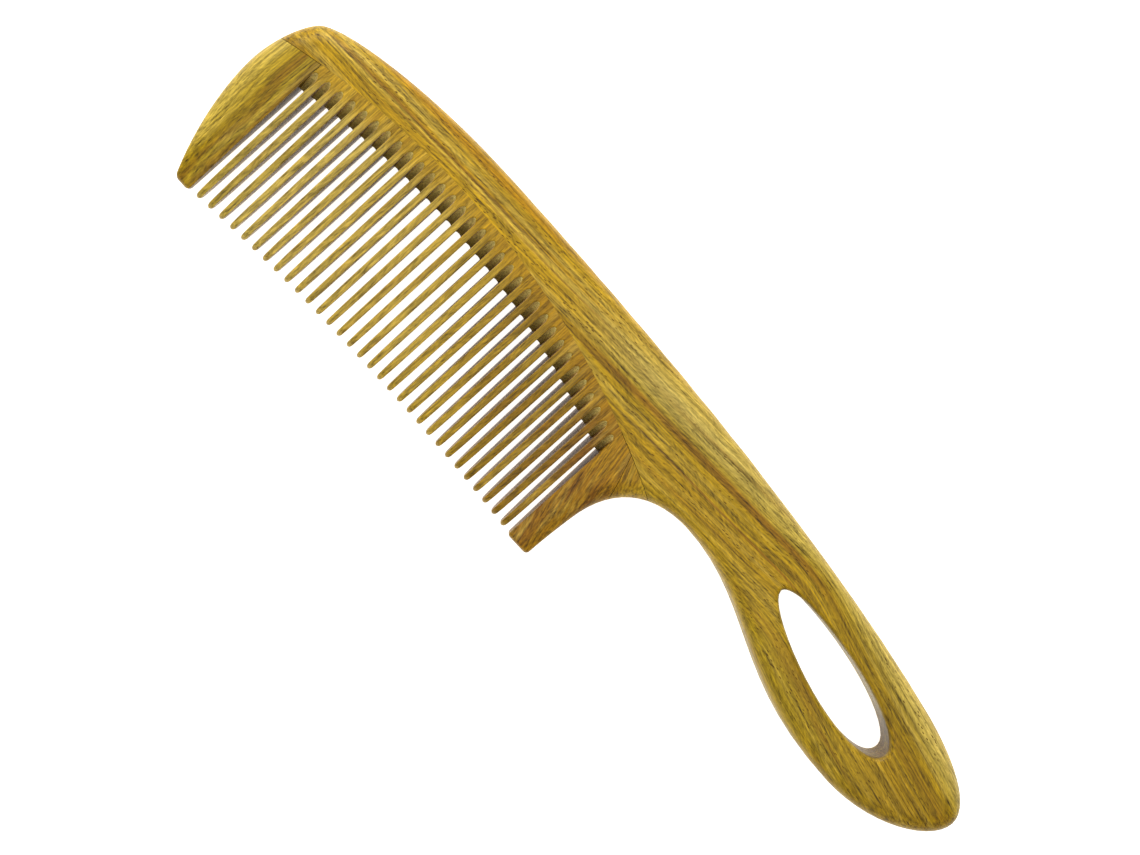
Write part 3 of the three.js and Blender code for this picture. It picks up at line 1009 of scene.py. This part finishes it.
def tooth(number):
    before, after = gap_middle(number - 1), gap_middle(number)
    middle = (before + after) / 2
    left, right = middle - tooth_width / 2, middle + tooth_width / 2
    tip, ridge = tip_y(middle), ridge_y(middle)
    top = arc_y(seam_radius, middle)

    bm = bmesh.new()

    def corner(y, z):
        return bm.verts.new((left, y, z))

    ridge_corner = corner(ridge, 0)
    upper_exit, lower_exit = corner(ridge + ramp_length, half), corner(ridge + ramp_length, -half)
    upper_top, lower_top = corner(top, half), corner(top, -half)
    upper_tip, lower_tip = corner(tip, half), corner(tip, -half)
    root = bm.faces.new((ridge_corner, lower_exit, lower_top, upper_top, upper_exit))
    shank = bm.faces.new((ridge_corner, upper_exit, upper_tip, lower_tip, lower_exit))
    through = bmesh.ops.extrude_face_region(bm, geom=[root, shank])
    moved = [g for g in through["geom"] if isinstance(g, bmesh.types.BMVert)]
    bmesh.ops.translate(bm, vec=(tooth_width, 0, 0), verts=moved)
    bmesh.ops.recalc_face_normals(bm, faces=bm.faces)

    def at_top(vert):
        return abs(vert.co.y - top) < same_place

    half_steps = [0.07, 0.22, 0.44, gap_width / 2]
    across_gap = half_steps + [gap_width - s for s in reversed(half_steps[:-1])] + [gap_width]
    for side, whole_gap in ((-1, number == 1), (1, number == tooth_count)):
        steps = across_gap if whole_gap else half_steps
        steps = steps[:-1] + [steps[-1] - (glue_line if whole_gap else root_seam) / 2]
        ends = [f for f in bm.faces if any(at_top(v) for v in f.verts) and abs(f.normal.x) > 0.9]
        end = [max(ends, key=lambda f: side * f.calc_center_median().x)]
        reached = 0.0
        for step in steps:
            end = grow(bm, end, (side * (step - reached), 0, 0))
            reached = step

    for vert in bm.verts:
        outside = max(left - vert.co.x, vert.co.x - right, 0.0)
        own_ridge = ridge_y(before if vert.co.x < middle else after)
        if at_top(vert):
            vert.co.y = arc_y(seam_radius - root_seam, vert.co.x)
        elif abs(vert.co.y - ridge) < same_place:
            vert.co.y = own_ridge + 0.2 * scoop * scooped(outside)
        elif abs(vert.co.y - ridge - ramp_length) < same_place:
            vert.co.y = own_ridge + ramp_length + scoop * scooped(outside)
    bmesh.ops.recalc_face_normals(bm, faces=bm.faces)
    lowest_top = min(arc_y(seam_radius, left - gap_width), arc_y(seam_radius, right + gap_width))

    def softened(edge):
        a, b = (v.co for v in edge.verts)
        if edge.calc_face_angle(0) < 0.5 or max(a.y, b.y) > lowest_top - 0.3:
            return False
        on_face = abs(abs(a.z) - half) < same_place and abs(a.z - b.z) < same_place
        return on_face or max(a.y, b.y) < tip + 0.01

    bmesh.ops.bevel(
        bm, geom=[e for e in bm.edges if softened(e)], offset=tooth_rounding, offset_type="OFFSET",
        segments=3, profile=0.5, affect="EDGES", clamp_overlap=False, loop_slide=False, material=-1,
    )
    return bm, middle, tip, top


trial, *_ = tooth(5)
print("one tooth has", len(trial.faces), "faces before its tip is shaped")
trial.free()

# %% [markdown]
# ## Tips and tongue of a tooth
# Marks across the shank give rows that can be drawn in: over the last few millimetres each row gets
# narrower and thinner along a round curve, which leaves a blunt tip that doesn't scratch. The root's top
# gets the same tongue as the guards.

# %% Finish one tooth
tip_length = 2.6  # the tip thins down over this length
tip_blunt = 0.85  # and narrows over this one


def finish_tooth(number, material):
    bm, middle, tip, top = tooth(number)
    root_top = [f for f in bm.faces if f.normal.y > 0.9 and f.calc_center_median().y > top - 2]
    for vert in dict.fromkeys(v for f in root_top for v in f.verts):
        vert.co.y -= arc_y(seam_radius, vert.co.x)
        vert.co.y += top
    push_strip(bm, top - root_seam, tongue_thickness / 2, tongue_height, head_x, end_x)
    for vert in bm.verts:
        if vert.co.y > top - 0.1:
            vert.co.y += arc_y(seam_radius, vert.co.x) - top
    for row in taper_rows + [tip + tip_length * s for s in (0.02, 0.07, 0.16, 0.3, 0.5, 0.75, 1.0)]:
        mark(bm, (0, row, 0), (0, 1, 0))
    for vert in bm.verts:
        vert.co.z *= thinned(vert.co.x, vert.co.y)
        rise = (vert.co.y - tip) / tip_length
        if rise < 1:
            vert.co.z *= max(0.16, quarter_round(rise))
        narrow = 1 - 0.07 * eased((4 - vert.co.y) / 26) - 0.10 * eased(1 - (vert.co.y - tip) / 6)
        rise = (vert.co.y - tip) / tip_blunt
        if rise < 1:
            narrow *= max(0.2, quarter_round(rise))
        if vert.co.y < ridge_y(middle) - 1.0:
            vert.co.x = middle + (vert.co.x - middle) * narrow
    node = f"tooth_{number:02d}"
    return finished(bm, node + "_piece", node, material)


print("tips stand between", round(tip_y(field_start), 2), "and", round(tip_y(field_middle), 2), "mm")

# %% [markdown]
# ## Wood of the teeth
# The teeth were sawn from one upright board, so its colours run on from tooth to tooth: olive gold at
# the head, golden in the middle and brown towards the heel, and warmer brown in the roots. The walls of
# the gaps are painted pale grey, as painted light from the glowing table in the narrow gaps, with fine
# sawn ribs across them. The ramps are painted darkest at their ridge, as painted shade deep in the gap,
# and pale towards their upper end, as painted light. The surface's direction tells a wall and a ramp
# from a face.

# %% Material of the teeth
def tooth_ground(bench, millimetres, place):
    x, y, z = bench.parts(millimetres)
    drift = bench.noise(bench.stretch(millimetres, (0.08, 0.045, 0.1)), 3.0)
    slanted = bench.math("ADD", x, bench.math("MULTIPLY", y, 0.35))
    across = bench.math("ADD", slanted, bench.range(drift, 0.3, 0.7, -9.0, 9.0))
    faces = bands(
        bench,
        bench.range(across, -92.0, 0.0),
        [
            (0.0, tone(170, 146, 70)),
            (0.10, tone(186, 161, 84)),
            (0.40, tone(180, 152, 73)),
            (0.60, tone(170, 140, 60)),
            (0.78, tone(144, 114, 43)),
            (1.0, tone(126, 89, 28)),
        ],
    )
    normal = bench.parts(bench.put("ShaderNodeNewGeometry").outputs["True Normal"])
    wall = bench.range(bench.math("ABSOLUTE", normal["X"]), 0.75, 0.95)
    ramp = bench.math("MULTIPLY", bench.range(normal["Y"], -0.45, -0.62), bench.range(y, -4.0, -3.0))
    sawn = bench.math("MAXIMUM", wall, ramp)
    flat_place = bench.stretch(millimetres, (1, 1, 0))
    from_middle = bench.put(
        "ShaderNodeVectorMath", {0: flat_place, 1: (*seam_middle, 0)}, operation="DISTANCE"
    ).outputs["Value"]
    root = bench.range(from_middle, seam_radius - 6.5, seam_radius - 1.0, smooth=True)
    by_spine = bench.mix(bench.range(x, -70.0, -10.0), tone(178, 140, 44), tone(160, 120, 34))
    faces = bench.mix(bench.math("MULTIPLY", root, 0.85), faces, by_spine)
    # painted light: the walls are painted pale grey, standing in for light the glowing table throws into
    # the narrow gaps; the dark ribs are saw marks
    wall_painted_light = bench.mix(bench.range(x, -60.0, -25.0), tone(206, 190, 172), tone(190, 158, 120))
    rib = bench.noise(bench.stretch(millimetres, (0.3, 4.5, 0.5)), 2.0)
    wall_painted_light = bench.mix(bench.range(rib, 0.42, 0.62), wall_painted_light, tone(128, 96, 60))
    # painted shade and light: a ramp is painted dark near its ridge, as shade deep in the narrow gap,
    # and pale towards the face, as light
    depth = bench.math("ABSOLUTE", bench.math("SUBTRACT", z, half))
    ramp_painted_shade_and_light = bench.mix(bench.range(depth, 0.8, 3.4), tone(134, 118, 54), tone(222, 208, 130))
    sawn_painted_light_and_shade = bench.mix(ramp, wall_painted_light, ramp_painted_shade_and_light)
    return bench.mix(bench.math("MULTIPLY", sawn, 0.85), faces, sawn_painted_light_and_shade)


# the teeth's rolled edges get a stronger painted highlight
tooth_wood = wood_material(
    "tooth wood", tooth_ground, degrees=88, edge_highlight_amount=0.55, Streaks=0.45, Fibres=0.9, Figure=0.35, Pores=0.3
)

teeth = [finish_tooth(number, tooth_wood) for number in range(1, tooth_count + 1)]
print(len(teeth), "teeth, each about", len(teeth[0].data.polygons), "faces")
board.free()
